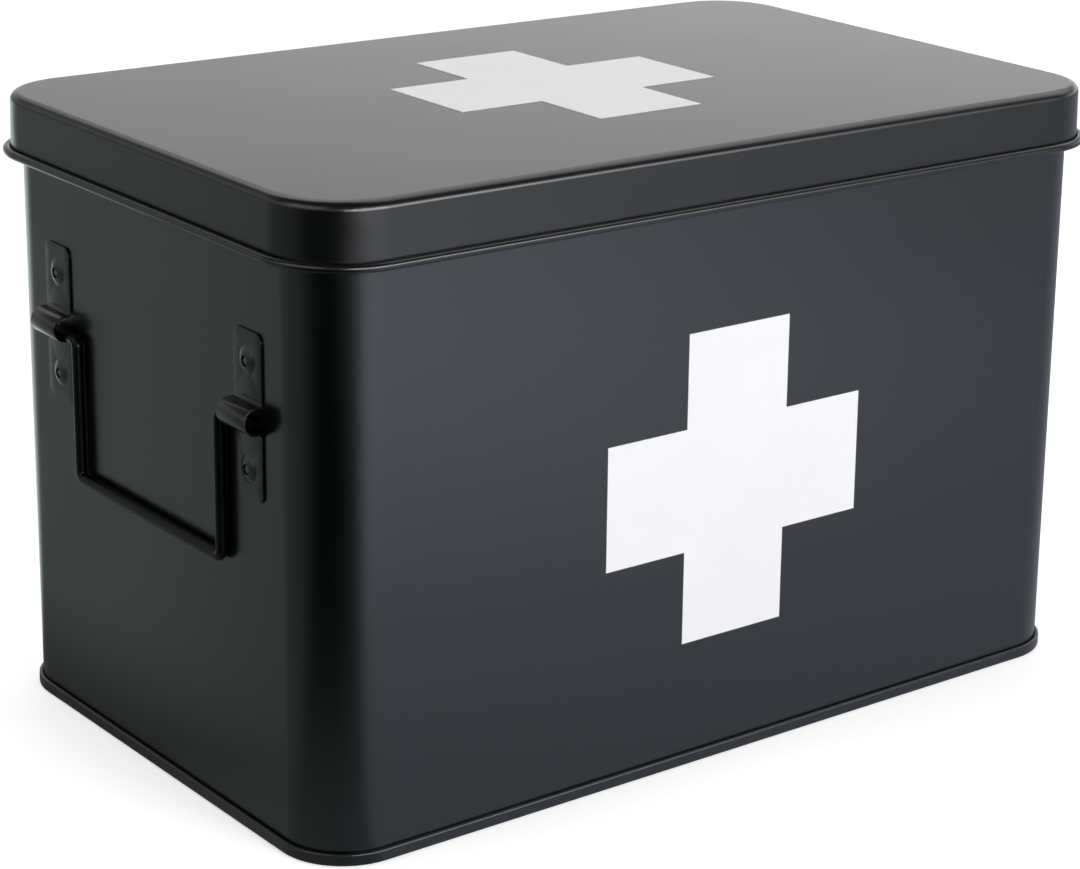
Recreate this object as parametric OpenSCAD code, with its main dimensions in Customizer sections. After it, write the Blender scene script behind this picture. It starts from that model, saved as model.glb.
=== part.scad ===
// Medicine box: a seamed sheet-steel box with a lift-off lid and a wire bail handle at each end.
// The front faces -Y, the handles are on the -X and +X walls, and the seam at the foot stands on z = 0.

/* [Box] */
// Length of the front wall, outside
box_l = 321; // [240:1:480]
// Depth from the front wall to the back wall, outside
box_w = 199; // [182:1:320]
// Height from the foot of the base seam to the top of the lid
box_h = 212; // [150:1:320]
// Outer radius of the upright corners
corner_r = 22; // [12:1:30]
// Thickness of the sheet of the wall, the base and the lid
sheet_t = 0.45; // [0.35:0.05:0.6]

/* [Lid] */
// Height of the lid from the foot of its bead to its top
lid_h = 21; // [14:0.5:40]
// Outer radius of the edge between the lid's top and its skirt
lid_edge_r = 3; // [2:0.2:5]
// Gap between the lid's rounded edge and skirt and the rolled rim of the wall
lid_gap = 0.3; // [0.2:0.1:1]
// How far the skirt leans out between its top and its foot
skirt_flare = 0.4; // [0:0.1:1]
// Diameter of the rolled bead at the foot of the skirt
lid_bead_d = 3; // [2.4:0.2:4.4]

/* [Rolled rim] */
// Diameter of the roll at the top edge of the wall
rim_d = 3.3; // [2.7:0.1:4.4]
// Least gap between the top of the roll and the lid's panel
rim_gap = 0.3; // [0.2:0.1:0.8]

/* [Base seam] */
// Height of the double seam
seam_h = 4.2; // [3.4:0.2:6]
// Gap between the folded layers of the seam
fold_gap = 0.06; // [0.04:0.02:0.1]
// Outer radius of the seam's folds, in thicknesses of the sheet
fold_ratio = 1.5; // [1.4:0.05:1.55]
// Height of the base panel above the foot
panel_lift = 3; // [2.4:0.2:5]
// Outer radius of the bend between the base panel and its seam
panel_bend_r = 1.4; // [0.8:0.1:1.8]
// Width of the lock seam that closes the back wall
lock_seam_w = 7; // [5:0.5:10]
// Plain stretch of wall above and below the lock seam
lock_seam_gap = 2; // [1:0.5:4]

/* [Handle brackets] */
// Distance from the foot of the lid down to the axis of the barrels
barrel_drop = 52.2; // [51:0.2:60]
// Distance between the middles of the two brackets of one handle
bracket_pitch = 120; // [100:1:138]
// Width of the strap, which is also the length of its barrel
strap_w = 16; // [14:0.5:20]
// Length of the strap from its lower end to its upper end
strap_l = 54; // [50:1:64]
// Thickness of the strap
strap_t = 0.7; // [0.5:0.1:1.2]
// Corner radius of the strap's ends
strap_corner_r = 3; // [2:0.5:5]
// Outer diameter of the barrel
barrel_d = 9; // [8:0.2:10]
// Inner radius of the bends where the strap leaves the wall for its barrel
neck_r = 1.2; // [0.8:0.1:1.8]
// Straight stretch between those bends and the half round of the barrel
neck_run = 0.6; // [0.2:0.1:3]

/* [Rivets] */
// Distance between the two rivets of one bracket
rivet_pitch = 34.6; // [30:0.2:37]
// Diameter of the domed head
rivet_head_d = 9; // [7:0.2:9.6]
// Height of the domed head
rivet_head_h = 1.2; // [1:0.1:2.2]
// Diameter of the shank
rivet_d = 3.8; // [3.4:0.2:4.8]
// Clearance round the shank in its holes
rivet_clearance = 0.05; // [0.02:0.01:0.12]
// Diameter of the dimple in the head
dimple_d = 3.6; // [2:0.2:4]
// Depth of the dimple in the head
dimple_h = 0.7; // [0.4:0.1:0.9]
// Diameter of the set bulb inside the wall
bulb_d = 6.2; // [5.6:0.2:7]
// Length of the set bulb inside the wall
bulb_h = 4.2; // [3:0.2:6]
// Radius of the bulb's rounding
bulb_round_r = 1.3; // [0.6:0.1:1.4]

/* [Bail handles] */
// Diameter of the bail's wire
wire_d = 3.2; // [2.8:0.1:4]
// Distance from the bail's axis down to the middle of its grip
bail_drop = 48; // [40:0.5:49]
// Radius of the wire's bends, at the middle of the wire
bend_r = 2.6; // [2.4:0.2:6]
// End play between each bend and its barrel, with the bail in the middle
bail_play = 4.2; // [1:0.2:5]
// How far each pin reaches into its barrel, with the bail in the middle
pin_reach = 11.2; // [8:0.2:12]
// Gap between the wire and the barrel where it rests
wire_gap = 0.2; // [0.1:0.05:0.4]
// Gap between the wire and the wall of the box
wall_gap = 0.5; // [0.3:0.1:0.8]

/* [Crosses] */
// Length of each bar of a cross
cross_l = 107; // [80:1:120]
// Width of each bar of a cross
cross_w = 42.4; // [24:0.2:48]
// Thickness of the cross film
film_t = 0.1; // [0.08:0.02:0.2]
// How far the lid's cross is set behind the middle of the lid
lid_cross_set = 2.6; // [-6:0.2:6]

/* [Hidden] */
$fn = 96;

SIDES = ["left", "right"];
ENDS = ["front", "rear"];
LEVELS = ["lower", "upper"];

coat = [0.17, 0.18, 0.18];
print_white = [0.97, 0.97, 0.98];

// Middles of the upright corners, from the middle of the box
corner_x = box_l / 2 - corner_r;
corner_y = box_w / 2 - corner_r;

// Heights
lid_foot_z = box_h - lid_h;
lid_panel_z = box_h - sheet_t;
bead_mid_z = lid_foot_z + lid_bead_d / 2;
lid_edge_z = box_h - lid_edge_r;
rim_mid_z = min(lid_edge_z, lid_panel_z - rim_gap - rim_d / 2);
front_mid_z = (lid_foot_z + lid_bead_d) / 2;
barrel_z = lid_foot_z - barrel_drop;

// Distances from a corner's middle out to the faces of the sheets
wall_in = corner_r - sheet_t;
skirt_in = wall_in + rim_d + lid_gap;
skirt_foot_in = skirt_in + skirt_flare;
fold_step = sheet_t + fold_gap;
fold_r = fold_ratio * sheet_t;
seam_out = corner_r + 3 * fold_step;
chuck_out = wall_in - fold_gap;

// Barrel of a bracket: a half round that a quarter bend on each side leads back to the wall
barrel_r = barrel_d / 2;
bore_r = barrel_r - strap_t;
neck_x = strap_t + neck_r;
neck_z = barrel_r + neck_r;
barrel_out = neck_x + neck_run;

// Bail: the wire runs between the wall and the half rounds, and lies on the floor of its barrels
wire_r = wire_d / 2;
wire_out = wire_r + wall_gap;
wire_past = max(0, wire_out - barrel_out);
wire_z = barrel_z - sqrt(pow(bore_r - wire_r - wire_gap, 2) - pow(wire_past, 2));
leg_y = (bracket_pitch - strap_w) / 2 - bail_play - bend_r;
pin_end_y = (bracket_pitch - strap_w) / 2 + pin_reach;

// Flat outline between two opposite corners, rounded at each
module rounded_patch(low, high, r) {
    translate([low.x + r, low.y]) square([high.x - low.x - 2 * r, high.y - low.y]);
    translate([low.x, low.y + r]) square([high.x - low.x, high.y - low.y - 2 * r]);
    for (x = [low.x + r, high.x - r], y = [low.y + r, high.y - r]) translate([x, y]) circle(r);
}

// One straight side of the box: the section runs along it, half_run each way
module straight_side(half_run) {
    translate([0, half_run, 0]) rotate([90, 0, 0]) linear_extrude(2 * half_run) children();
}

// A section carried right round the box: its x runs outwards from a corner's middle, its y upwards
module around_box() {
    for (turn = [0, 180]) rotate(turn) {
        translate([corner_x, 0, 0]) straight_side(corner_y) children();
        translate([0, corner_y, 0]) rotate(90) straight_side(corner_x) children();
        translate([corner_x, corner_y, 0]) rotate_extrude(angle = 90) children();
        translate([-corner_x, corner_y, 0]) rotate(90) rotate_extrude(angle = 90) children();
    }
}

// The middle of a panel, between the corners' middles
module panel_middle(z) {
    translate([-corner_x, -corner_y, z]) cube([2 * corner_x, 2 * corner_y, sheet_t]);
}

// Section of a rolled edge: the sheet comes up on the left, rolls over and ends short of itself
module rolled_edge(d) {
    difference() {
        circle(d / 2);
        circle(d / 2 - sheet_t);
        polygon([[0, 0], [-d, -d / 8], [-d, -d], [-d / 2, -d]]);
    }
}

// Section of the wall: the roll at its top, the sheet, and the hook that the base seam grips
module wall_section() {
    hook_out = corner_r + 2 * fold_step;
    hook_top = seam_h - fold_step;
    translate([wall_in, fold_r]) square([sheet_t, rim_mid_z - fold_r]);
    difference() {
        rounded_patch([wall_in, fold_step], [hook_out, seam_h], fold_r - fold_step);
        translate([0, hook_top]) square([2 * corner_r, seam_h]);
        translate([corner_r, fold_step + sheet_t]) square([hook_out - sheet_t - corner_r, seam_h]);
    }
    translate([wall_in + rim_d / 2, rim_mid_z]) rolled_edge(rim_d);
}

// Section of the base: the panel, the bend down to the foot, and the fold round the wall's hook
module base_section() {
    chuck_in = chuck_out - sheet_t;
    cover_in = corner_r + fold_gap;
    leg_in = seam_out - sheet_t;
    fold_mid = (cover_in + seam_out) / 2;
    panel_top = panel_lift + sheet_t;
    difference() {
        rounded_patch([chuck_in, 0], [seam_out, seam_h], fold_r);
        rounded_patch([chuck_out, sheet_t], [leg_in, 2 * seam_h], fold_r - sheet_t);
        translate([0, seam_h / 2]) square([fold_mid, seam_h]);
    }
    difference() {
        rounded_patch([cover_in, 0], [seam_out, seam_h], fold_r);
        rounded_patch([cover_in + sheet_t, -seam_h], [leg_in, seam_h - sheet_t], fold_r - sheet_t);
        square([fold_mid, 2 * fold_step]);
    }
    intersection() {
        difference() {
            rounded_patch([-corner_r, -corner_r], [chuck_out, panel_top], panel_bend_r);
            rounded_patch([-corner_r, -corner_r], [chuck_in, panel_lift], panel_bend_r - sheet_t);
        }
        translate([0, fold_r]) square([corner_r, panel_top]);
    }
}

// Section of the lid: the panel, its rounded edge, the skirt and the rolled bead
module lid_section() {
    edge_x = skirt_in + sheet_t - lid_edge_r;
    translate([0, lid_panel_z]) square([edge_x, sheet_t]);
    intersection() {
        translate([edge_x, lid_edge_z]) square(lid_edge_r);
        translate([edge_x, lid_edge_z]) difference() {
            circle(lid_edge_r);
            circle(lid_edge_r - sheet_t);
        }
    }
    polygon([
        [skirt_in, lid_edge_z], [skirt_in + sheet_t, lid_edge_z],
        [skirt_foot_in + sheet_t, bead_mid_z], [skirt_foot_in, bead_mid_z]
    ]);
    translate([skirt_foot_in + lid_bead_d / 2, bead_mid_z]) mirror([0, 1]) rolled_edge(lid_bead_d);
}

// The lock seam at the back, folded flat against the wall
module lock_seam() {
    low_z = seam_h + lock_seam_gap;
    high_z = rim_mid_z - rim_d / 2 - lock_seam_gap;
    translate([-lock_seam_w / 2, box_w / 2 - sheet_t, low_z])
        cube([lock_seam_w, 3 * sheet_t, high_z - low_z]);
}

module body_wall() {
    color(coat) difference() {
        union() {
            around_box() wall_section();
            lock_seam();
        }
        for (side = SIDES, end = ENDS, level = LEVELS) at_rivet(side, end, level) rivet_hole();
    }
}

module base_panel() {
    color(coat) {
        around_box() base_section();
        panel_middle(panel_lift);
    }
}

module lid() {
    color(coat) {
        around_box() lid_section();
        panel_middle(lid_panel_z);
    }
}

// Puts what is drawn at the origin, outwards along x, on the named end wall
module on_wall(side) {
    if (side == "left") mirror([1, 0, 0]) translate([box_l / 2, 0, 0]) children();
    else translate([box_l / 2, 0, 0]) children();
}

// Puts what is drawn at the origin on the barrel's axis, at the wall's face
module at_bracket(side, end) {
    on_wall(side) translate([0, (end == "front" ? -1 : 1) * bracket_pitch / 2, barrel_z]) children();
}

// Puts what is drawn at the origin on the rivet's axis, at the wall's face
module at_rivet(side, end, level) {
    at_bracket(side, end) translate([0, 0, (level == "lower" ? -1 : 1) * rivet_pitch / 2]) children();
}

module rivet_hole() {
    hole_reach = sheet_t + strap_t;
    translate([-hole_reach, 0, 0]) rotate([0, 90, 0])
        cylinder(r = rivet_d / 2 + rivet_clearance, h = 2 * hole_reach);
}

module strap_ring(inner_r) {
    difference() {
        circle(inner_r + strap_t);
        circle(inner_r);
    }
}

// Section of a bent strap: flat on the wall, out through a quarter bend, round the barrel and back
module strap_section() {
    for (flip = [0, 1]) mirror([0, flip]) {
        translate([0, neck_z]) square([strap_t, strap_l / 2 - neck_z]);
        translate([neck_x, neck_z]) intersection() {
            strap_ring(neck_r);
            rotate(180) square(neck_z);
        }
        translate([neck_x, bore_r]) square([barrel_out - neck_x, strap_t]);
    }
    translate([barrel_out, 0]) intersection() {
        strap_ring(bore_r);
        translate([0, -neck_z]) square(2 * neck_z);
    }
}

// What is cut away to round one corner of the strap's upper end
module strap_corner_cut() {
    translate([-strap_t, strap_w / 2 - strap_corner_r, strap_l / 2 - strap_corner_r])
        rotate([90, 0, 90]) linear_extrude(3 * strap_t) difference() {
            square(2 * strap_corner_r);
            circle(strap_corner_r);
        }
}

module bracket(side, end) {
    color(coat) at_bracket(side, end) difference() {
        rotate([90, 0, 0]) linear_extrude(strap_w, center = true) strap_section();
        for (y = [0, 1], z = [0, 1]) mirror([0, y, 0]) mirror([0, 0, z]) strap_corner_cut();
        for (z = [-1, 1] * rivet_pitch / 2) translate([0, 0, z]) rivet_hole();
    }
}

// Section of a blind rivet, with its axis upwards: set bulb, shank, and domed head with its dimple
module rivet_section() {
    head_top = strap_t + rivet_head_h;
    dome_r = (pow(rivet_head_d / 2, 2) + pow(rivet_head_h, 2)) / (2 * rivet_head_h);
    difference() {
        intersection() {
            translate([0, head_top - dome_r]) circle(dome_r);
            translate([0, strap_t]) square([rivet_head_d / 2, rivet_head_h]);
        }
        translate([0, head_top - dimple_h]) square([dimple_d / 2, dimple_h]);
    }
    translate([0, -sheet_t - bulb_h / 2]) square([rivet_d / 2, sheet_t + bulb_h / 2 + strap_t]);
    intersection() {
        rounded_patch([-bulb_d / 2, -sheet_t - bulb_h], [bulb_d / 2, -sheet_t], bulb_round_r);
        translate([0, -sheet_t - bulb_h]) square([bulb_d / 2, bulb_h]);
    }
}

module rivet(side, end, level) {
    color(coat) at_rivet(side, end, level) rotate([0, 90, 0]) rotate_extrude() rivet_section();
}

// A straight length of wire along the y axis
module wire_run(from, to) {
    translate([0, to, 0]) rotate([90, 0, 0]) cylinder(r = wire_r, h = to - from);
}

// A quarter bend of the wire round the origin, in the wall's plane, from one angle on
module wire_bend(start) {
    rotate([90, 0, 90]) rotate(start) rotate_extrude(angle = 90) translate([bend_r, 0]) circle(wire_r);
}

// Half of the bail, from the middle of its grip to the end of its pin, with the pins' axis as x = z = 0
module half_bail() {
    wire_run(leg_y + bend_r, pin_end_y);
    translate([0, leg_y + bend_r, -bend_r]) wire_bend(90);
    translate([0, leg_y, bend_r - bail_drop]) cylinder(r = wire_r, h = bail_drop - 2 * bend_r);
    translate([0, leg_y - bend_r, bend_r - bail_drop]) wire_bend(270);
    translate([0, 0, -bail_drop]) wire_run(0, leg_y - bend_r);
}

module bail(side) {
    color(coat) on_wall(side) translate([wire_out, 0, wire_z]) {
        half_bail();
        mirror([0, 1, 0]) half_bail();
    }
}

module cross_film() {
    color(print_white) linear_extrude(film_t) {
        square([cross_l, cross_w], center = true);
        square([cross_w, cross_l], center = true);
    }
}

module front_cross() {
    translate([0, -box_w / 2, front_mid_z]) rotate([90, 0, 0]) cross_film();
}

module lid_cross() {
    translate([0, lid_cross_set, box_h]) cross_film();
}

body_wall();
base_panel();
lid();
front_cross();
lid_cross();
for (side = SIDES) {
    bail(side);
    for (end = ENDS) {
        bracket(side, end);
        for (level = LEVELS)
            rivet(side, end, level);
    }
}
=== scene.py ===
# Medicine box: the finish of its coated steel, wire, straps and film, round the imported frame
from math import cos, pi, radians, sin

import bmesh
import bpy
from mathutils import Euler, Matrix, Vector


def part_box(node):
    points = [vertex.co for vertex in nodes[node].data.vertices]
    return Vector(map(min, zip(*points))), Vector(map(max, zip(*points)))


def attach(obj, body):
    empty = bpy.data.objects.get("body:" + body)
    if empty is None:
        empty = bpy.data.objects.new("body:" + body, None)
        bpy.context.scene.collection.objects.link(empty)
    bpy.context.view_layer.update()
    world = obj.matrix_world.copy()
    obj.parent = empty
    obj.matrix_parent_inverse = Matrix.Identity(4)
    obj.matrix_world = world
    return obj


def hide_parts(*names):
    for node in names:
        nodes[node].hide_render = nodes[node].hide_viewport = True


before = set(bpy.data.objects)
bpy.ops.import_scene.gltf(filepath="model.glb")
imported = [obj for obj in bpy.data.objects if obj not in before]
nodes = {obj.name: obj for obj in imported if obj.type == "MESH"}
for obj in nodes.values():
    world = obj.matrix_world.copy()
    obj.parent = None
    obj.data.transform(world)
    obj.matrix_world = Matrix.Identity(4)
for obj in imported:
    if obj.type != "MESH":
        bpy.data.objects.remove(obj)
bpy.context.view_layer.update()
sideNames = ("left", "right")
endNames = ("front", "rear")
levelNames = ("lower", "upper")
mm = 0.001

# Places taken from the frame
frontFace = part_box("front_cross")[1].y                # the front wall's outer face
backFace = -frontFace
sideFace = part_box("right_front_bracket")[0].x         # the right end wall's outer face
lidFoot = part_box("lid")[0].z
cornerRadius = 22 * mm                                # of the wall, seen from above
cornerX, cornerY = sideFace - cornerRadius, backFace - cornerRadius
cornerNames = [f"{side}_{end}" for side in sideNames for end in endNames]
bracketNames = [corner + "_bracket" for corner in cornerNames]
rivetNames = [f"{corner}_{level}_rivet" for corner in cornerNames for level in levelNames]


def addObject(name, data):
    made = bpy.data.objects.new(name, data)
    bpy.context.scene.collection.objects.link(made)
    return made


# Camera

cameraShot = {
    "place": (-0.60682, -0.80877, 0.42341),    # metres
    "azimuth": -39.797,                        # degrees, 0 looks along +Y
    "elevation": 16.784,
    "roll": 1.563,
    "lens": 99.764,                            # millimetres
    "sensor": 36,                              # millimetres across
    "shift": (-0.15, -0.08),                   # the photograph is cropped off its lens's axis
    "clip": (0.05, 30),                        # metres
}


def addCamera(shot):
    data = bpy.data.cameras.new("photoCamera")
    data.lens = shot["lens"]
    data.sensor_width = shot["sensor"]
    data.shift_x, data.shift_y = shot["shift"]
    data.clip_start, data.clip_end = shot["clip"]
    camera = addObject("photoCamera", data)
    tilt = Euler((pi / 2 - radians(shot["elevation"]), 0, radians(shot["azimuth"])))
    turned = tilt.to_matrix() @ Matrix.Rotation(radians(shot["roll"]), 3, "Z")
    camera.location = shot["place"]
    camera.rotation_mode = "QUATERNION"
    camera.rotation_quaternion = turned.to_quaternion()
    bpy.context.scene.camera = camera


addCamera(cameraShot)
print("camera placed")


# Node trees

def socket(tree, name, kind, way="INPUT", value=None):
    made = tree.interface.new_socket(name=name, in_out=way, socket_type=kind)
    if value is not None:
        made.default_value = value
    return made


def addNode(tree, kind, settings=None, inputs=None):
    node = tree.nodes.new(kind)
    for name, value in (settings or {}).items():
        setattr(node, name, value)
    for name, value in (inputs or {}).items():
        if isinstance(value, bpy.types.NodeSocket):
            tree.links.new(value, node.inputs[name])
        else:
            node.inputs[name].default_value = value
    return node


def mathNode(tree, operation, *values):
    return addNode(tree, "ShaderNodeMath", {"operation": operation}, dict(enumerate(values))).outputs[0]


def vectorMath(tree, operation, *values):
    return addNode(tree, "ShaderNodeVectorMath", {"operation": operation}, dict(enumerate(values))).outputs


def lengthOf(tree, vector):
    return vectorMath(tree, "LENGTH", vector)["Value"]


def along(tree, vector, way):
    return vectorMath(tree, "DOT_PRODUCT", vector, (*way, 0))["Value"]


def cosineToward(tree, vector, toward):
    flat = vectorMath(tree, "MULTIPLY", vector, (1, 1, 0))[0]
    return along(tree, vectorMath(tree, "NORMALIZE", flat)[0], toward)


def awayFrom(tree, place, point):
    return vectorMath(tree, "SUBTRACT", place, (*point, 0))[0]


def heightOf(tree, vector):
    return addNode(tree, "ShaderNodeSeparateXYZ", None, {0: vector}).outputs["Z"]


def noiseOf(tree, vector, size, detail):
    scale = mathNode(tree, "DIVIDE", 1.0, size)
    inputs = {"Vector": vector, "Scale": scale, "Detail": detail}
    return addNode(tree, "ShaderNodeTexNoise", None, inputs).outputs["Fac"]


def mapRange(tree, value, low, high, toLow=0.0, toHigh=1.0):
    inputs = {"Value": value, "From Min": low, "From Max": high, "To Min": toLow, "To Max": toHigh}
    return addNode(tree, "ShaderNodeMapRange", {"interpolation_type": "SMOOTHSTEP"}, inputs).outputs[0]


def newGroup(name, inputs, outputs):
    tree = bpy.data.node_groups.new(name, "ShaderNodeTree")
    for label, kind, value in inputs:
        socket(tree, label, kind, value=value)
    for label, kind in outputs:
        socket(tree, label, kind, "OUTPUT")
    return tree, addNode(tree, "NodeGroupInput").outputs, addNode(tree, "NodeGroupOutput").inputs


# Powder coat: fine pimples over a slow orange peel, and cloudy differences in gloss
def makeCoatGrain():
    tree, into, out = newGroup(
        "coatGrain",
        [("Vector", "NodeSocketVector", None), ("Pimple Size", "NodeSocketFloat", 0.4 * mm),
         ("Peel Size", "NodeSocketFloat", 2 * mm), ("Cloud Size", "NodeSocketFloat", 40 * mm),
         ("Gloss Change", "NodeSocketFloat", 0.03)],
        [("Height", "NodeSocketFloat"), ("Gloss", "NodeSocketFloat"), ("Cloud", "NodeSocketFloat")],
    )
    peelShare = 0.6
    pimple = noiseOf(tree, into["Vector"], into["Pimple Size"], 1.0)
    peel = noiseOf(tree, into["Vector"], into["Peel Size"], 2.0)
    cloud = noiseOf(tree, into["Vector"], into["Cloud Size"], 3.0)
    pimples = mathNode(tree, "MULTIPLY", pimple, 1 - peelShare)
    height = mathNode(tree, "MULTIPLY_ADD", peel, peelShare, pimples)
    gloss = mathNode(tree, "MULTIPLY", mathNode(tree, "SUBTRACT", cloud, 0.5), into["Gloss Change"])
    tree.links.new(height, out["Height"])
    tree.links.new(gloss, out["Gloss"])
    tree.links.new(cloud, out["Cloud"])
    return tree


# Rubbing: a mask of fine broken streaks inside a band of heights
def makeRubWear():
    tree, into, out = newGroup(
        "rubWear",
        [("Vector", "NodeSocketVector", None), ("Low", "NodeSocketFloat", 0.0),
         ("High", "NodeSocketFloat", 1.0), ("Streak Size", "NodeSocketFloat", 6 * mm),
         ("Amount", "NodeSocketFloat", 0.5)],
        [("Mask", "NodeSocketFloat")],
    )
    streakEdge = (0.52, 0.72)                  # the noise where a streak starts, and where it is whole
    height = heightOf(tree, into["Vector"])
    above = mathNode(tree, "GREATER_THAN", height, into["Low"])
    below = mathNode(tree, "LESS_THAN", height, into["High"])
    streak = noiseOf(tree, into["Vector"], into["Streak Size"], 5.0)
    broken = mapRange(tree, streak, *streakEdge)
    band = mathNode(tree, "MULTIPLY", above, below)
    mask = mathNode(tree, "MULTIPLY", mathNode(tree, "MULTIPLY", band, broken), into["Amount"])
    tree.links.new(mask, out["Mask"])
    return tree


# Dust: a faint sprinkle on what faces up
def makeFineDust():
    tree, into, out = newGroup(
        "fineDust",
        [("Vector", "NodeSocketVector", None), ("Speck Size", "NodeSocketFloat", 1.2 * mm),
         ("Amount", "NodeSocketFloat", 0.3)],
        [("Mask", "NodeSocketFloat")],
    )
    upwardEdge = (0.5, 1.0)                    # how far a face has to look up to hold dust, and all of it
    speckEdge = (0.6, 0.75)                    # the noise where a speck starts, and where it is whole
    facing = addNode(tree, "ShaderNodeNewGeometry").outputs["Normal"]
    upward = mapRange(tree, heightOf(tree, facing), *upwardEdge)
    specks = noiseOf(tree, into["Vector"], into["Speck Size"], 6.0)
    sparse = mapRange(tree, specks, *speckEdge)
    mask = mathNode(tree, "MULTIPLY", mathNode(tree, "MULTIPLY", upward, sparse), into["Amount"])
    tree.links.new(mask, out["Mask"])
    return tree


coatGrain, rubWear, fineDust = makeCoatGrain(), makeRubWear(), makeFineDust()
print("finish groups built")


def newMaterial(name):
    material = bpy.data.materials.new(name)
    material.use_nodes = True
    tree = material.node_tree
    shader = tree.nodes["Principled BSDF"]
    place = addNode(tree, "ShaderNodeTexCoord").outputs["Object"]
    return material, tree, shader, place


def useGroup(tree, group, inputs):
    return addNode(tree, "ShaderNodeGroup", {"node_tree": group}, inputs).outputs


def mixNode(tree, kind, *values):
    node = addNode(tree, "ShaderNodeMix", {"data_type": kind})
    for label, value in zip(("Factor", "A", "B"), values):
        into = next(s for s in node.inputs if s.name == label and s.enabled)
        if isinstance(value, bpy.types.NodeSocket):
            tree.links.new(value, into)
        else:
            into.default_value = value
    return next(s for s in node.outputs if s.enabled)


def mixColor(tree, share, first, second):
    return mixNode(tree, "RGBA", share, first, second)


def mixValue(tree, share, first, second):
    return mixNode(tree, "FLOAT", share, first, second)


def gray(value, tint=(1.0, 1.0, 1.0)):
    return tuple(value * t for t in tint) + (1.0,)


# Coated steel

coatFinish = {
    "color": gray(0.0011, (0.45, 1.0, 0.85)),
    "cloudColor": gray(0.0014, (0.5, 1.0, 0.87)),
    "rubbedColor": gray(0.012),
    "dustColor": gray(0.35, (1.0, 0.98, 0.94)),
    "roughness": 0.25,
    "specular": 0.95,
    "grainDepth": 0.02 * mm,
    "grainStrength": 0.14,
    "pimple": 0.45 * mm,
    "peel": 2.2 * mm,
    "cloud": 45 * mm,
    "glossChange": 0.03,
    "rub": 0.25,                               # how far the rubbed streaks cover, 0 to 1
    "rubBand": (0, 1),                         # metres, the heights where it is rubbed: all of them
    "streak": 5 * mm,
    "rubbedRoughness": 0.25,
    "dust": 0.015,
    "dustRoughness": 0.7,
}


def addGrain(tree, shader, place, look):
    grain = useGroup(tree, coatGrain, {
        "Vector": place, "Pimple Size": look["pimple"], "Peel Size": look["peel"],
        "Cloud Size": look["cloud"], "Gloss Change": look["glossChange"],
    })
    bump = addNode(tree, "ShaderNodeBump", None, {
        "Strength": look["grainStrength"], "Distance": look["grainDepth"], "Height": grain["Height"],
    })
    tree.links.new(bump.outputs[0], shader.inputs["Normal"])
    return grain["Cloud"], mathNode(tree, "ADD", grain["Gloss"], look["roughness"])


def makeCoat(name, finish, changes):
    look = dict(finish, **changes)
    material, tree, shader, place = newMaterial(name)
    cloud, satin = addGrain(tree, shader, place, look)
    dust = useGroup(tree, fineDust, {"Vector": place, "Amount": look["dust"]})["Mask"]
    low, high = look["rubBand"]
    rub = useGroup(tree, rubWear, {
        "Vector": place, "Low": low, "High": high,
        "Streak Size": look["streak"], "Amount": look["rub"],
    })["Mask"]
    base = mixColor(tree, cloud, look["color"], look["cloudColor"])
    rubbed = mixColor(tree, rub, base, look["rubbedColor"])
    dusted = mixColor(tree, dust, rubbed, look["dustColor"])
    tree.links.new(dusted, shader.inputs["Base Color"])
    polished = mixValue(tree, rub, satin, look["rubbedRoughness"])
    tree.links.new(mixValue(tree, dust, polished, look["dustRoughness"]), shader.inputs["Roughness"])
    shader.inputs["Specular IOR Level"].default_value = look["specular"]
    return material


sheetCoat = makeCoat("sheetCoat", coatFinish, {"rub": 0.15, "rubBand": (0, 4 * mm)})
lidCoat = makeCoat("lidCoat", coatFinish, {
    "dust": 0.006, "grainStrength": 0.07, "specular": 0.8, "rubBand": (lidFoot, lidFoot + 3 * mm),
})
strapCoat = makeCoat("strapCoat", coatFinish, {
    "pimple": 0.3 * mm, "peel": 1.4 * mm, "specular": 0.75,
})
rivetCoat = makeCoat("rivetCoat", coatFinish, {
    "pimple": 0.25 * mm, "peel": 1.0 * mm, "roughness": 0.3,
})
wireCoat = makeCoat("wireCoat", coatFinish, {
    "pimple": 0.3 * mm, "peel": 1.2 * mm, "roughness": 0.3, "specular": 0.22,
    "rub": 0.3, "rubBand": (0, 120 * mm),
})

filmFinish = {
    "color": gray(0.9, (0.988, 0.98, 1.005)),
    "shade": gray(0.86, (0.98, 0.98, 1.0)),
    "roughness": 0.42,
    "pimple": 0.35 * mm,
    "peel": 2.6 * mm,
    "cloud": 30 * mm,
    "glossChange": 0.06,
    "grainDepth": 0.015 * mm,
    "grainStrength": 0.25,
}


def makeFilm(finish):
    material, tree, shader, place = newMaterial("whiteFilm")
    cloud, satin = addGrain(tree, shader, place, finish)
    tree.links.new(mixColor(tree, cloud, finish["color"], finish["shade"]), shader.inputs["Base Color"])
    tree.links.new(satin, shader.inputs["Roughness"])
    return material


whiteFilm = makeFilm(filmFinish)


def dress(names, material):
    for name in names:
        if not nodes[name].material_slots:
            nodes[name].data.materials.append(material)
        for slot in nodes[name].material_slots:
            slot.link = "OBJECT"
            slot.material = material


dress(["body_wall", "base_panel"], sheetCoat)
dress(["lid"], lidCoat)
dress(["front_cross", "lid_cross"], whiteFilm)
dress(["left_bail", "right_bail"], wireCoat)
dress(bracketNames, strapCoat)
dress(rivetNames, rivetCoat)
print("frame dressed")


# Pieces that start from a copy of a node's mesh

weldGap = 0.002 * mm                           # a node's mesh is loose triangles, so its corners are joined


def weldedCopy(source, name):
    mesh = nodes[source].data.copy()
    mesh.name = name
    form = bmesh.new()
    form.from_mesh(mesh)
    bmesh.ops.remove_doubles(form, verts=form.verts, dist=weldGap)
    return mesh, form


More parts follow.
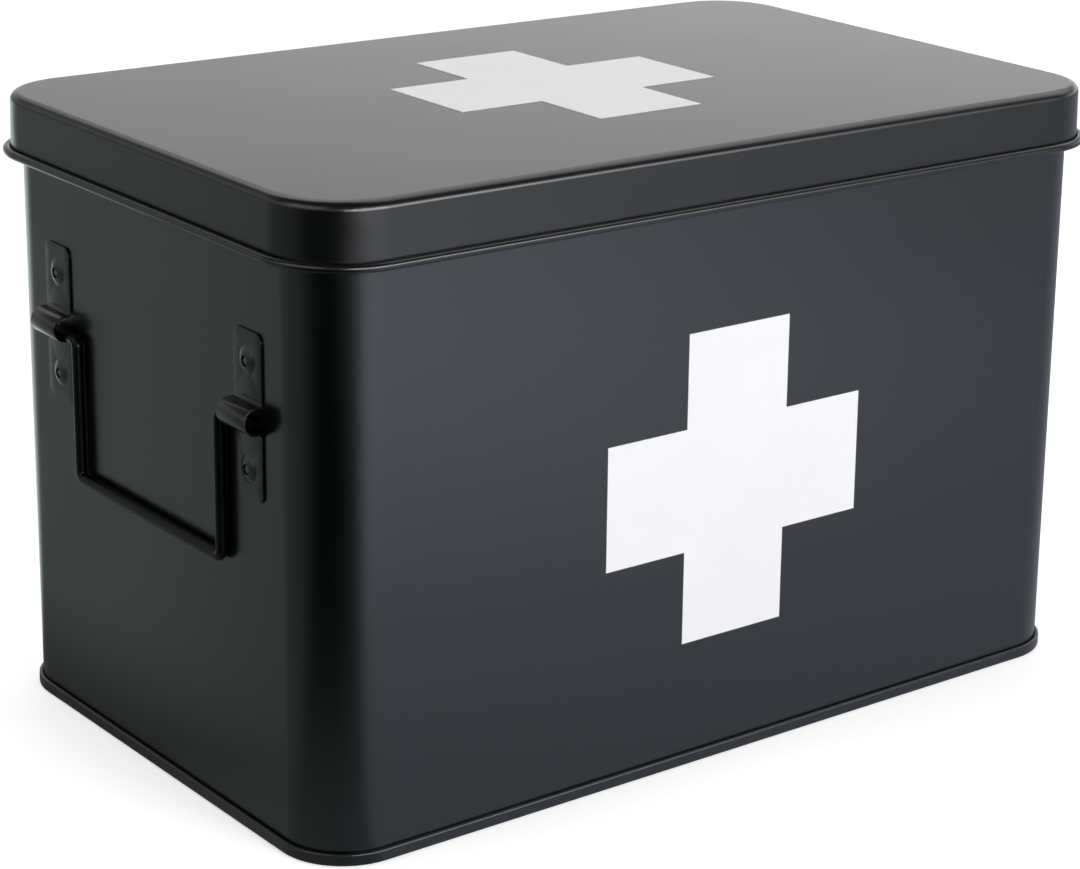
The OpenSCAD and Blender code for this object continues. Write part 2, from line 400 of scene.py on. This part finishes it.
def smoothMesh(mesh, form, crisp):
    form.to_mesh(mesh)
    form.free()
    if "custom_normal" in mesh.attributes:
        mesh.attributes.remove(mesh.attributes["custom_normal"])
    mesh.shade_smooth()
    mesh.set_sharp_from_angle(angle=radians(crisp))


def coatOver(piece, coat):
    piece.data.materials.clear()
    piece.data.materials.append(coat)


# Shells: the sheets again, with normals that run on evenly from the flats into the rounded corners

# node: piece, body, slot, coat
shells = {
    "body_wall": ("wall_shell", "box", "coated_sheet", sheetCoat),
    "base_panel": ("base_shell", "box", "coated_sheet", sheetCoat),
    "lid": ("lid_shell", "lid", "coated_lid", lidCoat),
}
shellCrisp = 30                                # degrees, and what turns further stays a crisp edge


def evenShell(source, name):
    mesh, form = weldedCopy(source, name)
    smoothMesh(mesh, form, shellCrisp)
    draft = addObject(name, mesh)
    even = draft.modifiers.new("even", "WEIGHTED_NORMAL")
    even.keep_sharp = True
    finished = bpy.data.meshes.new_from_object(draft.evaluated_get(bpy.context.evaluated_depsgraph_get()))
    draft.modifiers.remove(even)
    draft.data = finished
    return draft


for source, (name, body, slot, coat) in shells.items():
    shell = evenShell(source, name)
    coatOver(shell, coat)
    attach(shell, body)
    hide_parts(source)
print("shells evened")


# Straps: the bent straps with their sheared edges rounded, as the coating leaves them

strapEdge = {
    "round": 0.08 * mm,
    "segments": 3,
    "flat": 0.5,                               # degrees, and triangles that turn less are joined
    "sharp": 30,                               # degrees, and edges that turn further are rounded
    "crisp": 40,                               # degrees, and what then turns further stays crisp
}


def roundedCopy(source, name, edge):
    mesh, form = weldedCopy(source, name)
    bmesh.ops.dissolve_limit(form, angle_limit=radians(edge["flat"]), verts=form.verts, edges=form.edges)
    limit = radians(edge["sharp"])
    sharp = [e for e in form.edges if len(e.link_faces) == 2 and e.calc_face_angle() > limit]
    bmesh.ops.bevel(
        form, geom=sharp, offset=edge["round"], segments=edge["segments"], profile=0.5,
        affect="EDGES", clamp_overlap=True,
    )
    bmesh.ops.triangulate(form, faces=[f for f in form.faces if len(f.verts) > 4])
    smoothMesh(mesh, form, edge["crisp"])
    return addObject(name, mesh)


for source in bracketNames:
    strap = roundedCopy(source, source.replace("bracket", "strap"), strapEdge)
    coatOver(strap, strapCoat)
    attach(strap, "box")
    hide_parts(source)
print("straps rounded")


# Handles: the bent wires, a little thicker all round, except on the pins that turn in the barrels

wireBuild = {
    "thicker": 0.3 * mm,                       # all round
    "thinPast": 1.0 * mm,                      # how far into the barrels that fades out
    "crisp": 40,                               # degrees, and what turns further stays crisp
}


def thickerWire(source, name, look):
    mesh, form = weldedCopy(source, name)
    form.normal_update()
    mouth = -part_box("left_front_bracket")[1].y             # where the wire goes into its barrels
    shifts = []
    for point in form.verts:
        past = min(1, max(0, (abs(point.co.y) - mouth) / look["thinPast"]))
        shifts.append(point.normal * look["thicker"] * (1 - past))
    for point, shift in zip(form.verts, shifts):
        point.co += shift
    smoothMesh(mesh, form, look["crisp"])
    return addObject(name, mesh)


for side in sideNames:
    wire = thickerWire(side + "_bail", side + "_handle_wire", wireBuild)
    coatOver(wire, wireCoat)
    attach(wire, side + "_handle")
    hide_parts(side + "_bail")
print("handle wires coated")


# Rivets: the broken ends of their mandrels, down in the dimples of the heads

stubShape = {
    "Diameter": 2.1 * mm,
    "Length": 0.7 * mm,
    "Ruggedness": 0.12 * mm,
    "Grain": 0.5 * mm,
    "Break Height": 0.1 * mm,                  # what is above this, from the middle, is broken rough
    "Break Level": 0.7,                        # the noise that leaves a point where it was
}
stubFaces = {"Vertices": 28, "Side Segments": 2, "Fill Segments": 5}
stubRecess = 0.35 * mm                         # from the head's top down to the stub's end


def makeStubTree():
    tree = bpy.data.node_groups.new("mandrelStubs", "GeometryNodeTree")
    socket(tree, "Geometry", "NodeSocketGeometry")
    for label, value in stubShape.items():
        socket(tree, label, "NodeSocketFloat", value=value)
    socket(tree, "Material", "NodeSocketMaterial")
    socket(tree, "Geometry", "NodeSocketGeometry", "OUTPUT")
    into = addNode(tree, "NodeGroupInput").outputs
    radius = mathNode(tree, "MULTIPLY", into["Diameter"], 0.5)
    rodSize = {"Radius": radius, "Depth": into["Length"]}
    rod = addNode(tree, "GeometryNodeMeshCylinder", None, dict(stubFaces, **rodSize)).outputs["Mesh"]
    place = addNode(tree, "GeometryNodeInputPosition").outputs[0]
    onTop = addNode(tree, "FunctionNodeCompare", {"operation": "GREATER_THAN"}, {
        0: heightOf(tree, place), 1: into["Break Height"],
    }).outputs[0]
    rough = noiseOf(tree, place, into["Grain"], 3.0)
    past = mathNode(tree, "SUBTRACT", rough, into["Break Level"])
    sink = mathNode(tree, "MULTIPLY", past, into["Ruggedness"])
    offset = addNode(tree, "ShaderNodeCombineXYZ", None, {"Z": sink}).outputs[0]
    broken = addNode(tree, "GeometryNodeSetPosition", None, {
        "Geometry": rod, "Selection": onTop, "Offset": offset,
    }).outputs[0]
    across = addNode(tree, "ShaderNodeSeparateXYZ", None, {0: place}).outputs["X"]
    quarter = mathNode(tree, "MULTIPLY", mathNode(tree, "SIGN", across), pi / 2)
    turn = addNode(tree, "ShaderNodeCombineXYZ", None, {"Y": quarter}).outputs[0]
    spread = addNode(tree, "GeometryNodeInstanceOnPoints", None, {
        "Points": into["Geometry"], "Instance": broken, "Rotation": turn,
    }).outputs[0]
    whole = addNode(tree, "GeometryNodeRealizeInstances", None, {0: spread}).outputs[0]
    dressed = addNode(tree, "GeometryNodeSetMaterial", None, {
        "Geometry": whole, "Material": into["Material"],
    }).outputs[0]
    addNode(tree, "NodeGroupOutput", None, {"Geometry": dressed})
    return tree


def pointsObject(name, points, faces=()):
    mesh = bpy.data.meshes.new(name)
    mesh.from_pydata(points, [], faces)
    return addObject(name, mesh)


def grown(source, tree, name, values):
    live = source.modifiers.new(tree.name, "NODES")
    live.node_group = tree
    sockets = {item.name: item.identifier for item in tree.interface.items_tree if item.in_out == "INPUT"}
    for label, value in values.items():
        live[sockets[label]] = value
    evaluated = source.evaluated_get(bpy.context.evaluated_depsgraph_get())
    mesh = bpy.data.meshes.new_from_object(evaluated)
    source.modifiers.remove(live)
    bpy.data.objects.remove(source)
    return addObject(name, mesh)


def dimplePlace(rivet):
    low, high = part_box(rivet)
    outside = high.x if low.x > 0 else low.x
    way = 1 if low.x > 0 else -1
    depth = stubRecess + stubShape["Length"] / 2
    return (outside - way * depth, (low.y + high.y) / 2, (low.z + high.z) / 2)


stubSteel = makeCoat("stubSteel", coatFinish, {
    "color": gray(0.02), "cloudColor": gray(0.05), "roughness": 0.45,
    "pimple": 0.2 * mm, "peel": 0.6 * mm, "grainStrength": 0.6,
})
stubPoints = pointsObject("stubPoints", [dimplePlace(name) for name in rivetNames])
stubs = grown(stubPoints, makeStubTree(), "mandrel_stubs", dict(stubShape, Material=stubSteel))
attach(stubs, "box")
print("mandrel stubs set")


# Lock seam: the folded joint up the back of the wall, pressed flat, with its edges rounded

lockSeam = {
    "width": 7.5 * mm,
    "proud": 0.98 * mm,                        # out from the wall's face
    "tuck": 0.05 * mm,                         # its sides reach this far into the wall
    "round": 0.42 * mm,
    "arcSteps": 6,
    "crease": 0.12 * mm,                       # depth of the line where the hooked edges meet
    "creaseAt": -1.9 * mm,
    "creaseForm": ((-0.35, 0), (-0.12, 0.7), (0, 1), (0.12, 0.7), (0.35, 0)),   # mm across, share of depth
    "foot": 6.4 * mm,
    "top": lidFoot + 13.8 * mm,
    "steps": 100,
    "waves": ((0.03 * mm, 170, 0), (0.015 * mm, 431, 1)),   # how far it wanders, radians a metre, start
    "endSink": 0.5,                            # share of its height that its ends lose
    "crisp": 50,                               # degrees, and what turns further stays crisp
}


def seamProfile(look):
    half, out, turn = look["width"] / 2, look["proud"], look["round"]
    arc = [radians(90 * step / look["arcSteps"]) for step in range(look["arcSteps"] + 1)]
    left = [(-half + turn - turn * cos(a), out - turn + turn * sin(a)) for a in arc]
    crease = [(look["creaseAt"] + d * mm, out - look["crease"] * k) for d, k in look["creaseForm"]]
    right = [(half - turn + turn * sin(a), out - turn + turn * cos(a)) for a in arc]
    return [(-half, -look["tuck"])] + left + crease + right + [(half, -look["tuck"])]


def addLockSeam(look):
    outline, steps = seamProfile(look), look["steps"]
    count = len(outline)
    points, faces = [], []
    for step in range(steps + 1):
        share = step / steps
        height = look["foot"] + share * (look["top"] - look["foot"])
        ending = min(share, 1 - share) * steps
        lift = 1 - look["endSink"] * max(0, 1 - ending) ** 2
        sway = sum(size * sin(height * rate + start) for size, rate, start in look["waves"])
        for x, out in outline:
            points.append((x + sway, backFace + (out * lift if out > 0 else out), height))
    for step in range(steps):
        for side in range(count - 1):
            at = step * count + side
            faces.append((at, at + 1, at + count + 1, at + count))
    faces += [tuple(range(count - 1, -1, -1)), tuple(range(steps * count, (steps + 1) * count))]
    seam = pointsObject("lock_seam_fold", points, faces)
    form = bmesh.new()
    form.from_mesh(seam.data)
    bmesh.ops.recalc_face_normals(form, faces=form.faces)
    form.to_mesh(seam.data)
    form.free()
    seam.data.shade_smooth()
    seam.data.set_sharp_from_angle(angle=radians(look["crisp"]))
    seam.data.materials.append(sheetCoat)
    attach(seam, "box")


addLockSeam(lockSeam)
print("lock seam folded")


# Studio: a pale floor, lamps that light the colours, and a card and a sky that only give the coat its sheen

studio = {
    "floorRadius": 6.0,                        # metres
    "floorHeight": -0.3 * mm,                  # just under the foot
    "floorColor": gray(0.85),
    "floorRoughness": 0.8,
    "floorGlow": (1.0, 2.5, 0.55, 1.0),        # metres from, to, and the strengths there: white far off
    "discSides": 96,                           # of the floor and the card
    "ambient": 0.25,
    "lampAim": (0, 0, 0.1),                    # near the middle of the box
}

lamps = {
    "frontLamp": {"place": (0.3, -2.2, 0.9), "size": 1.4, "power": 36},
    "leftLamp": {"place": (-2.1, 0.2, 0.9), "size": 1.2, "power": 12},
    "topLamp": {"place": (0.2, 0.5, 2.2), "size": 1.6, "power": 15.5},
}

# What the walls mirror: a card on the floor that glows, seen only in reflections, with painted pools of
# light and a painted dark sector in front of the near corner
sheenCard = {
    "radius": 3.0,                             # metres
    "height": -0.15 * mm,                      # between the floor and the foot
    "nearCorner": (-cornerX, -cornerY),        # centres of the walls' rounded corners
    "farCorner": (-cornerX, cornerY),
    "darkToward": (-0.603, -0.798),            # the dark sector's middle, seen from the near corner
    "frontEdge": (0.75, 0.97),                 # cosines of the angles at its soft edges
    "leftEdge": (0.3, 0.9),
    "turnEdge": (-0.1, 0.1),                   # across that sector, from the left light to the front one
    "footGlow": (0.0, 0.25, 0.2, 0.0),         # from, to the near corner outwards, and the strengths there
    "frontPool": (0.09, -0.685),               # centre of the light on the floor in front
    "frontFade": (0.0, 0.62, 1.07, 0.41),      # from, to that centre outwards, and the strengths there
    "frontColor": gray(1.0, (0.89, 0.98, 1.14)),
    "leftFade": (0.0, 0.06, 0.13, 0.32),       # from, to the left wall outwards
    "leftToward": (-0.6, 0.8),                 # a line that runs this way from the near corner
    "leftSide": (-0.05, 0.08, 0.6, 1.0),       # from, to past that line, and the shares there
    "leftColor": gray(1.0, (0.92, 1.06, 1.01)),
    "behindToward": (0.35, 0.94),              # seen from the far corner
    "behindEdge": (0.75, 0.97),
    "behind": 1.3,
}

# What the lid, its edge and the barrels mirror: an almost dark sky with soft lights in it
sheenSky = {
    "color": gray(1.0, (1.0, 0.992, 1.0)),
    "dark": 0.05,
    "lights": [
        # toward x, y; cosines at the edges, where less than -1 is all round; strength; sines of the
        # elevation where it fades in and out
        {"toward": (1.0, 0.0), "edge": (-3.0, -2.0), "strength": 0.3,       # low, all round
         "rise": (-0.05, 0.1), "fall": (0.3, 0.45)},
        {"toward": (1.0, 0.0), "edge": (-3.0, -2.0), "strength": 0.035,     # high, all round
         "rise": (0.2, 0.45), "fall": (0.9, 1.1)},
        {"toward": (0.8, 0.6), "edge": (0.2, 0.8), "strength": 0.11,        # far right
         "rise": (-0.05, 0.1), "fall": (0.45, 0.65)},
        {"toward": (0.82, 0.57), "edge": (0.25, 0.8), "strength": 1.3,      # far right, high up
         "rise": (0.35, 0.6), "fall": (0.9, 1.0)},
        {"toward": (0.9, 0.43), "edge": (0.4, 1.0), "strength": 1.8,        # right, along the horizon
         "rise": (-0.05, 0.1), "fall": (0.03, 0.3)},
        {"toward": (0.12, -0.993), "edge": (0.81, 0.9), "strength": 7.5,    # in front, low
         "rise": (-0.2, 0.0), "fall": (0.12, 0.35)},
        {"toward": (-0.995, -0.1), "edge": (0.8, 0.95), "strength": 0.9,    # left, half way up
         "rise": (0.15, 0.35), "fall": (0.55, 0.8)},
        {"toward": (-0.6, 0.8), "edge": (0.4, 0.9), "strength": 0.08,       # far left
         "rise": (-0.2, 0.0), "fall": (0.5, 0.75)},
    ],
}


def addLamp(name, lamp):
    data = bpy.data.lights.new(name, "AREA")
    data.shape = "DISK"
    data.size = lamp["size"]
    data.energy = lamp["power"]
    light = addObject(name, data)
    light.location = lamp["place"]
    away = Vector(lamp["place"]) - Vector(studio["lampAim"])
    light.rotation_mode = "QUATERNION"
    light.rotation_quaternion = away.to_track_quat("Z", "Y")
    light.visible_camera = False
    light.visible_glossy = False


def addDisc(name, radius, height):
    mesh = bpy.data.meshes.new(name)
    form = bmesh.new()
    bmesh.ops.create_circle(form, cap_ends=True, segments=studio["discSides"], radius=radius)
    bmesh.ops.translate(form, vec=(0, 0, height), verts=form.verts)
    form.to_mesh(mesh)
    form.free()
    disc = addObject(name, mesh)
    return disc


def addFloor(look):
    floor = addDisc("floor", look["floorRadius"], look["floorHeight"])
    material, tree, shader, place = newMaterial("paleFloor")
    shader.inputs["Base Color"].default_value = look["floorColor"]
    shader.inputs["Roughness"].default_value = look["floorRoughness"]
    shader.inputs["Specular IOR Level"].default_value = 0.0
    shader.inputs["Emission Color"].default_value = gray(1.0)
    path = addNode(tree, "ShaderNodeLightPath").outputs
    seen = mathNode(tree, "MAXIMUM", path["Is Camera Ray"], path["Is Transmission Ray"])
    glow = mapRange(tree, lengthOf(tree, place), *look["floorGlow"])
    tree.links.new(mathNode(tree, "MULTIPLY", seen, glow), shader.inputs["Emission Strength"])
    floor.data.materials.append(material)


def addCard(look):
    card = addDisc("sheenCard", look["radius"], look["height"])
    for ray in ("camera", "diffuse", "transmission", "volume_scatter", "shadow"):
        setattr(card, "visible_" + ray, False)
    material = bpy.data.materials.new("sheenCard")
    material.use_nodes = True
    tree = material.node_tree
    tree.nodes.clear()
    place = addNode(tree, "ShaderNodeTexCoord").outputs["Object"]
    fromNear = awayFrom(tree, place, look["nearCorner"])
    towardX, towardY = look["darkToward"]
    cosine = cosineToward(tree, fromNear, look["darkToward"])
    crossing = cosineToward(tree, fromNear, (-towardY, towardX))
    frontSide = mapRange(tree, crossing, *look["turnEdge"])
    fromPool = awayFrom(tree, place, look["frontPool"])
    front = mapRange(tree, lengthOf(tree, fromPool), *look["frontFade"])
    outward = mathNode(tree, "SUBTRACT", -sideFace, along(tree, place, (1, 0)))
    wayX, wayY = look["leftToward"]
    past = mapRange(tree, along(tree, fromNear, (wayY, -wayX)), *look["leftSide"])
    left = mathNode(tree, "MULTIPLY", mapRange(tree, outward, *look["leftFade"]), past)
    fromFar = awayFrom(tree, place, look["farCorner"])
    behind = mapRange(tree, cosineToward(tree, fromFar, look["behindToward"]), *look["behindEdge"])
    left = mixValue(tree, behind, left, look["behind"])
    front = mathNode(tree, "MULTIPLY", front, mapRange(tree, cosine, *look["frontEdge"], 1.0, 0.0))
    left = mathNode(tree, "MULTIPLY", left, mapRange(tree, cosine, *look["leftEdge"], 1.0, 0.0))
    pooled = mixValue(tree, frontSide, left, front)
    foot = mapRange(tree, lengthOf(tree, fromNear), *look["footGlow"])
    strength = mathNode(tree, "MAXIMUM", pooled, foot)
    color = mixColor(tree, frontSide, look["leftColor"], look["frontColor"])
    glow = addNode(tree, "ShaderNodeEmission", None, {"Color": color, "Strength": strength}).outputs[0]
    addNode(tree, "ShaderNodeOutputMaterial", None, {"Surface": glow})
    card.data.materials.append(material)


def setWorld(look, sky):
    world = bpy.data.worlds.new("studioWorld")
    bpy.context.scene.world = world
    world.use_nodes = True
    tree = world.node_tree
    background = tree.nodes["Background"]
    way = addNode(tree, "ShaderNodeTexCoord").outputs["Generated"]
    rise = heightOf(tree, way)
    sheen = sky["dark"]
    for light in sky["lights"]:
        across = mapRange(tree, cosineToward(tree, way, light["toward"]), *light["edge"])
        up = mapRange(tree, rise, *light["rise"])
        down = mapRange(tree, rise, *light["fall"], light["strength"], 0.0)
        part = mathNode(tree, "MULTIPLY", mathNode(tree, "MULTIPLY", up, down), across)
        sheen = mathNode(tree, "ADD", sheen, part)
    path = addNode(tree, "ShaderNodeLightPath").outputs
    seen = mathNode(tree, "MAXIMUM", path["Is Camera Ray"], path["Is Transmission Ray"])
    plain = mixValue(tree, seen, look["ambient"], 1.0)
    tree.links.new(mixValue(tree, path["Is Glossy Ray"], plain, sheen), background.inputs["Strength"])
    tint = mixColor(tree, path["Is Glossy Ray"], gray(1.0), sky["color"])
    tree.links.new(tint, background.inputs["Color"])


for name, lamp in lamps.items():
    addLamp(name, lamp)
addFloor(studio)
addCard(sheenCard)
setWorld(studio, sheenSky)
bpy.context.scene.view_settings.view_transform = "Standard"
print("studio set")
